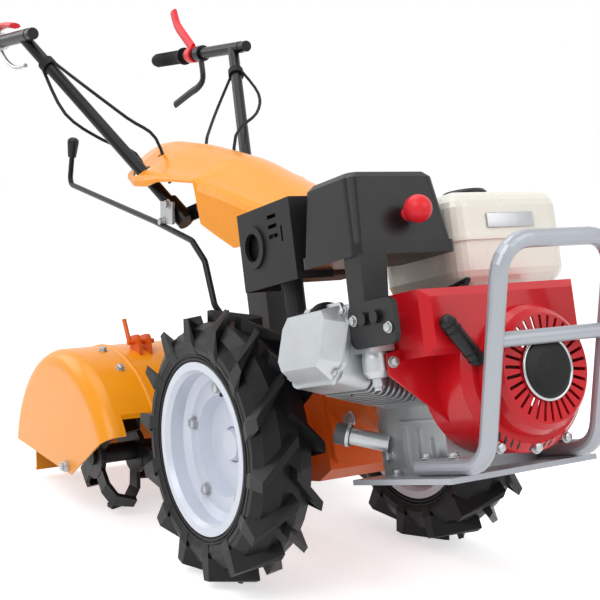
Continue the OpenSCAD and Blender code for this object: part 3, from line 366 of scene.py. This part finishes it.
# Wheel trim: radius, angle in degrees and distance out from the wheel's middle
RIM_BOLTS, RIM_BOLT_CIRCLE, FIRST_RIM_BOLT, RIM_BOLT_OUT = 5, 97, 95, 8
VALVE_CIRCLE, VALVE_ANGLE, VALVE_OUT, VALVE_TIP = 117, 58, 26, 14
# Radius, distance out and wire of the rings on a sidewall
SIDEWALL_RINGS = ((147, 47.5, 2.6), (153, 49.5, 1.6), (166, 51.3, 1.8))


def on_wheel(middle, outward, radius_mm, angle_deg, out_mm):
    """Place on a wheel, by radius, angle and distance out from its middle."""
    angle = math.radians(angle_deg)
    spoke = Vector((math.cos(angle), 0, math.sin(angle)))
    return middle + spoke * radius_mm * MM + outward * out_mm * MM


class TRACTOR_OT_wheel_trim(bpy.types.Operator):
    """Adds the rim bolts, valve stem and sidewall rings to both wheels"""

    bl_idname = "tractor.wheel_trim"
    bl_label = "Wheel trim"

    def execute(self, context):
        for side, body in ((-1, "wheel_right"), (1, "wheel_left")):
            low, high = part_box("tyre_right" if side < 0 else "tyre_left")
            middle = (Vector(low) + Vector(high)) / 2
            outward = Vector((0, side, 0))
            turn = facing(outward)

            begin("rim_bolts_" + body)
            for i in range(RIM_BOLTS):
                angle = FIRST_RIM_BOLT + 360 / RIM_BOLTS * i
                bolt(on_wheel(middle, outward, RIM_BOLT_CIRCLE, angle, RIM_BOLT_OUT), turn,
                     across_mm=17, height_mm=9)
            end("zinc_plated_steel", body)

            begin("valve_stem_" + body)
            stem = on_wheel(middle, outward, VALVE_CIRCLE, VALVE_ANGLE, VALVE_OUT)
            bpy.ops.mesh.primitive_cone_add(
                vertices=20, radius1=6 * MM, radius2=3.5 * MM, depth=22 * MM,
                location=stem, rotation=turn)
            bevel(0.6, steps=2)
            bar(stem + outward * VALVE_TIP * MM, turn, sides=16, radius_mm=3.6, depth_mm=9,
                edge_mm=0.8, steps=2)
            end("soft_grip_rubber", body)

            begin("sidewall_rings_" + body)
            for radius_mm, out_mm, wire_mm in SIDEWALL_RINGS:
                for face in (1, -1):
                    ring(middle + outward * face * out_mm * MM, turn, radius_mm, wire_mm,
                         segments=72)
            end("moulded_tyre_rubber", body)
        return {"FINISHED"}


# Bolts of the engine: chassis place, the way it points, width across flats and height
ENGINE_BOLTS = (
    ((448, -182, 96), FRONT, 12, 7),  # shroud arm
    ((506, 0, -44), FRONT, 13, 7),  # shroud front
    ((502, 62, -37), FRONT, 12, 6),
    ((502, -62, -37), FRONT, 12, 6),
    ((424, -220.5, 157), RIGHT, 11, 5),  # control panel
    ((502, -220.5, 140), RIGHT, 11, 5),
    ((422, -192, 66.5), DOWN, 11, 6),  # carburettor bowl
    ((178, -80, 20), RIGHT, 17, 9),  # plug of the clutch housing
    ((276, -84, -40), RIGHT, 15, 8),  # drain of the crankcase
)
# Upright bolts on both sides of the engine's foot and plate: X of each, distance from the
# middle, height of the seat, width across flats and height
FOOT_BOLTS = (((300, 392), 92, -69, 13, 8), ((390, 452), 102, -44, 12, 6))
# The cylinder leans up from the crank to the right, and ends in the valve cover's flange
CRANK_Z = 63
CRANK = Vector((335, 0, CRANK_Z))
CYLINDER_LEAN = math.radians(17)
FLANGE_OUT = 238
FLANGE_BOLTS = ((-58, -40), (60, -44), (60, 42), (-60, 40))


class TRACTOR_OT_engine_bolts(bpy.types.Operator):
    """Adds the bolts of the engine, its shroud and its plate"""

    bl_idname = "tractor.engine_bolts"
    bl_label = "Engine bolts"

    def execute(self, context):
        begin("engine_bolts")
        for place, way, across, height in ENGINE_BOLTS:
            bolt(at(*place), aim(*way), across, height)
        for row, out, seat, across, height in FOOT_BOLTS:
            for x in row:
                for side in SIDES:
                    bolt(at(x, side * out, seat), aim(*UP), across, height)
        sine, cosine = math.sin(CYLINDER_LEAN), math.cos(CYLINDER_LEAN)
        outward, upward = Vector((0, -cosine, sine)), Vector((0, sine, cosine))
        for ahead, high in FLANGE_BOLTS:
            place = CRANK + outward * FLANGE_OUT + Vector(FRONT) * ahead + upward * high
            bolt(at(*place), aim(*outward), across_mm=10, height_mm=5)
        end("zinc_plated_steel")
        return {"FINISHED"}


# Middles of the starter's bright ring and of the tank's badge
STARTER_RING, BADGE = (551, 0, CRANK_Z), (424.5, 84, 290)
# Louvres on the shroud's face, drawn as black marks that paint the shade in their slots: two groups,
# by first angle and step in degrees
LOUVRE_FIRSTS, LOUVRES, LOUVRE_STEP = (-128, -96), 4, 6.5
LOUVRE_X, LOUVRE_CIRCLE = 509, 106
# Seat of the oil filler's cap, and the way the filler points
FILLER_TOP = Vector((234, -126, -2))
FILLER_WAY = Vector((-46, -42, 20)).normalized()
FILLER_CAP_OUT = 7.4
# Ends of the starter's pull grip, and the collars' shares of the way between
PULL_FAR, PULL_NEAR = Vector((525.3, -142, 138)), Vector((525.3, -100.6, 86.6))
COLLAR_SHARES = (0.04, 0.2, 0.8, 0.96)
# Lines of the spark plug's boot, of its lead, of the loop that hangs between the engine and
# the tyre, and of the fuel hose
PLUG_BOOT = ((330, -176, 178), (334, -196, 184), (338, -214, 184), (340, -226, 178))
PLUG_LEAD = (
    (338, -226, 180), (322, -246, 196), (300, -240, 190), (290, -205, 160), (300, -120, 150))
LOOP = (
    (330, -228, 186), (294, -262, 190), (243, -262, 161), (215, -262, 119), (223, -262, 78),
    (269, -262, 52), (320, -240, 50), (338, -182, 58))
FUEL_HOSE = ((424, -166, 120), (440, -120, 108), (430, -60, 150), (420, -8, 205))


class TRACTOR_OT_engine_trim(bpy.types.Operator):
    """Adds the starter's ring, blank badge, louvres as black marks of painted shade, filler cap,
    collars, plug boot and leads
    """

    bl_idname = "tractor.engine_trim"
    bl_label = "Engine trim"

    def execute(self, context):
        begin("starter_ring")
        ring(at(*STARTER_RING), aim(*FRONT), radius_mm=43.5, wire_mm=2.4)
        end("polished_steel")

        begin("blank_badge")
        block(at(*BADGE), aim(*FRONT), size_mm=(92, 22, 3), edge_mm=1.2)
        end("zinc_plated_steel")

        # Black marks on the shroud's face: painted shade where the louvre slots open
        begin("shroud_louvres")
        for first in LOUVRE_FIRSTS:
            for i in range(LOUVRES):
                angle = math.radians(first + LOUVRE_STEP * i)
                y, z = math.cos(angle), math.sin(angle)
                bpy.ops.mesh.primitive_uv_sphere_add(
                    segments=14, ring_count=8, radius=1,
                    location=at(LOUVRE_X, LOUVRE_CIRCLE * y, CRANK_Z + LOUVRE_CIRCLE * z),
                    rotation=aim(1, y, z), scale=(2.2 * MM, 9 * MM, 1.2 * MM))
        end("grained_black_plastic")

        begin("filler_cap")
        bar(at(*(FILLER_TOP + FILLER_WAY * FILLER_CAP_OUT)), aim(*FILLER_WAY), sides=10,
            radius_mm=17.4, depth_mm=24, edge_mm=1.6, steps=2)
        end("grey_moulded_plastic")

        begin("pull_grip_collars")
        for share in COLLAR_SHARES:
            ring(at(*PULL_FAR.lerp(PULL_NEAR, share)), aim(*(PULL_NEAR - PULL_FAR)),
                 radius_mm=10.9, wire_mm=1.3, segments=32)
        end("soft_grip_rubber")

        begin("plug_boot")
        hose(PLUG_BOOT, radius_mm=9.5)
        bpy.ops.mesh.primitive_uv_sphere_add(
            segments=20, ring_count=12, radius=9.6 * MM, location=at(*PLUG_BOOT[-1]))
        end("soft_grip_rubber")

        begin("leads")
        hose(PLUG_LEAD, radius_mm=3.4)
        hose(LOOP, radius_mm=2.4)
        hose(FUEL_HOSE, radius_mm=4)
        end("soft_grip_rubber")
        return {"FINISHED"}


# Ribs of a hand grip, from its rear end
RIBS, FIRST_RIB, RIB_STEP = 15, 16, 9


class TRACTOR_OT_grip_ribs(bpy.types.Operator):
    """Adds the ribs of the hand grips"""

    bl_idname = "tractor.grip_ribs"
    bl_label = "Grip ribs"

    def execute(self, context):
        # The grips lie level, along the world's X
        turn = facing(Vector((1, 0, 0)))
        for node in ("grip_right", "grip_left"):
            low, high = (Vector(c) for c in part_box(node))
            middle = (low + high) / 2
            begin(node + "_ribs")
            for i in range(RIBS):
                x = low.x + (FIRST_RIB + RIB_STEP * i) * MM
                ring(Vector((x, middle.y, middle.z)), turn, radius_mm=15.4, wire_mm=2.1,
                     segments=32)
            end("soft_grip_rubber")
        return {"FINISHED"}


# Handle clamps: middle of a plate, distance of plate and bolts from the machine's middle
CLAMP_X, CLAMP_Z, CLAMP_OUT, CLAMP_BOLT_OUT = -331, 452, 107, 110.5
CLAMP_BOLTS = ((-348, 438), (-314, 466))


class TRACTOR_OT_handle_trim(bpy.types.Operator):
    """Adds the plates and bolts of the handle clamps under the hood"""

    bl_idname = "tractor.handle_trim"
    bl_label = "Handle trim"

    def execute(self, context):
        begin("clamp_plates")
        for side in SIDES:
            outward = aim(0, side, 0)
            block(at(CLAMP_X, side * CLAMP_OUT, CLAMP_Z), outward, size_mm=(52, 44, 7), edge_mm=1.6)
            for x, z in CLAMP_BOLTS:
                bolt(at(x, side * CLAMP_BOLT_OUT, z), outward, across_mm=13, height_mm=8)
        end("zinc_plated_steel")
        return {"FINISHED"}


# Arch of the tiller's shield, and its bolts by angle in degrees and distance from the middle
ARCH_X, ARCH_Z, ARCH_R = -561, -55, 274
ARCH_BOLTS = ((52, -215), (70, -215), (52, 215), (70, 215), (30, -120), (30, 120))
# Flanges of the drive neck, each with the way its bolts point
NECK_FLANGES = ((-316, FRONT), (-344, BACK))
NECK_BOLTS, NECK_Z, NECK_CIRCLE = 6, 66, 64
# Shaft ends below the tiller's caps
STUB_X, STUB_Z, STUB_OUT, STUB_BOLT_OUT = -500, -14, 302, 309


class TRACTOR_OT_tiller_trim(bpy.types.Operator):
    """Adds the tiller's bolts and the shaft ends below its caps"""

    bl_idname = "tractor.tiller_trim"
    bl_label = "Tiller trim"

    def execute(self, context):
        begin("tiller_bolts")
        for angle, y in ARCH_BOLTS:
            outward = Vector((math.cos(math.radians(angle)), 0, math.sin(math.radians(angle))))
            bolt(at(*(Vector((ARCH_X, y, ARCH_Z)) + outward * ARCH_R)), aim(*outward),
                 across_mm=13, height_mm=7)
        for i in range(NECK_BOLTS):
            angle = math.radians(360 / NECK_BOLTS * i)
            y, z = NECK_CIRCLE * math.cos(angle), NECK_Z + NECK_CIRCLE * math.sin(angle)
            for x, way in NECK_FLANGES:
                bolt(at(x, y, z), aim(*way), across_mm=12, height_mm=7)
        end("zinc_plated_steel")

        begin("cap_stubs")
        for side in SIDES:
            outward = aim(0, side, 0)
            bar(at(STUB_X, side * STUB_OUT, STUB_Z), outward, sides=28, radius_mm=11,
                depth_mm=16, edge_mm=1.5, steps=3)
            bolt(at(STUB_X, side * STUB_BOLT_OUT, STUB_Z), outward, across_mm=14, height_mm=6)
        end("zinc_plated_steel")
        return {"FINISHED"}


def seen_rays(tree):
    """1 for rays that show the background: to the camera, reflected or refracted."""
    path = add(tree, "ShaderNodeLightPath").outputs
    shown = add(tree, "ShaderNodeMath", {0: path["Is Camera Ray"], 1: path["Is Glossy Ray"]},
                operation="MAXIMUM")
    return add(tree, "ShaderNodeMath", {0: shown.outputs[0], 1: path["Is Transmission Ray"]},
               operation="MAXIMUM").outputs[0]


def stage_white(name, value, glow):
    """White for the floor: bright where it is seen, and still shadowed by the object."""
    material = bpy.data.materials.new(name)
    material.use_nodes = True
    tree = material.node_tree
    shader = tree.nodes["Principled BSDF"]
    shader.inputs["Base Color"].default_value = (value, value, value, 1)
    shader.inputs["Roughness"].default_value = 0.9
    shader.inputs["Specular IOR Level"].default_value = 0.1
    shader.inputs["Emission Color"].default_value = (1, 1, 1, 1)
    strength = add(tree, "ShaderNodeMath", {0: seen_rays(tree), 1: glow}, operation="MULTIPLY")
    tree.links.new(strength.outputs[0], shader.inputs["Emission Strength"])
    return material


FLOOR_M = 60
# The world's strength where it only lights the object, and where it is seen
WORLD_LIGHT, WORLD_SEEN = 0.5, 1.0
# Name, place, width and power of the lamps, which all point at one place
LAMPS = (
    ("key", (1.6, -2.6, 3.0), 2.2, 52),
    ("fill", (3.2, 1.2, 2.2), 2.4, 30),
    ("top", (-0.6, -0.4, 3.6), 2.6, 40),
    ("rear", (-3.0, -1.6, 2.4), 2.0, 26),
)
LIT_PLACE = Vector((0.2, 0, 0.4))
FILM_MM = 36


class TRACTOR_OT_stage(bpy.types.Operator):
    """Builds the floor, the soft studio light and the camera"""

    bl_idname = "tractor.stage"
    bl_label = "Stage"

    def execute(self, context):
        scene = context.scene
        _, stage = settings()
        scene.view_settings.view_transform = "Standard"
        axle_x = sum(c[0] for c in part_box("half_axle_right")) / 2

        bpy.ops.object.select_all(action="DESELECT")
        bpy.ops.mesh.primitive_plane_add(size=FLOOR_M)
        floor = context.object
        floor.name = "floor"
        floor.data.materials.append(stage_white("pale_floor", value=0.86, glow=0.6))

        world = bpy.data.worlds.new("studio")
        scene.world = world
        world.use_nodes = True
        tree = world.node_tree
        strength = add(tree, "ShaderNodeMapRange", {
            "Value": seen_rays(tree), "To Min": WORLD_LIGHT, "To Max": WORLD_SEEN})
        back = tree.nodes["Background"]
        back.inputs["Color"].default_value = (1, 1, 1, 1)
        tree.links.new(strength.outputs["Result"], back.inputs["Strength"])

        for name, place, size, power in LAMPS:
            bpy.ops.object.light_add(type="AREA", location=place)
            lamp = context.object
            lamp.name = name
            lamp.data.energy = power
            lamp.data.size = size
            ray = LIT_PLACE - Vector(place)
            lamp.rotation_euler = ray.to_track_quat("-Z", "Y").to_euler()

        bpy.ops.object.camera_add()
        camera = context.object
        camera.name = "camera"
        camera.data.sensor_width = FILM_MM
        camera.data.lens = stage.lens
        camera.location = (axle_x + stage.axle_ahead, -stage.right, stage.height)
        camera.rotation_euler = (math.pi / 2 - stage.elevation, 0, stage.azimuth)
        scene.camera = camera
        return {"FINISHED"}


class TRACTOR_PT_sidebar(bpy.types.Panel):
    """Lists the steps that dress the tractor"""

    bl_idname = "TRACTOR_PT_sidebar"
    bl_label = "Hand tractor"
    bl_space_type = "VIEW_3D"
    bl_region_type = "UI"
    bl_category = "Tractor"

    def draw(self, context):
        for operator in OPERATORS:
            self.layout.operator(operator.bl_idname)


OPERATORS = (
    TRACTOR_OT_stage, TRACTOR_OT_finishes, TRACTOR_OT_wheel_trim, TRACTOR_OT_engine_bolts,
    TRACTOR_OT_engine_trim, TRACTOR_OT_grip_ribs, TRACTOR_OT_handle_trim, TRACTOR_OT_tiller_trim)
CLASSES = (TractorColours, TractorStage) + OPERATORS + (TRACTOR_PT_sidebar,)


def register():
    for cls in CLASSES:
        bpy.utils.register_class(cls)
    bpy.types.Scene.tractor_colours = bpy.props.PointerProperty(type=TractorColours)
    bpy.types.Scene.tractor_stage = bpy.props.PointerProperty(type=TractorStage)


def unregister():
    del bpy.types.Scene.tractor_stage
    del bpy.types.Scene.tractor_colours
    for cls in reversed(CLASSES):
        bpy.utils.unregister_class(cls)


def main():
    register()
    bpy.ops.tractor.stage()
    bpy.ops.tractor.finishes()
    bpy.ops.tractor.wheel_trim()
    bpy.ops.tractor.engine_bolts()
    bpy.ops.tractor.engine_trim()
    bpy.ops.tractor.grip_ribs()
    bpy.ops.tractor.handle_trim()
    bpy.ops.tractor.tiller_trim()


if __name__ == "__main__":
    main()
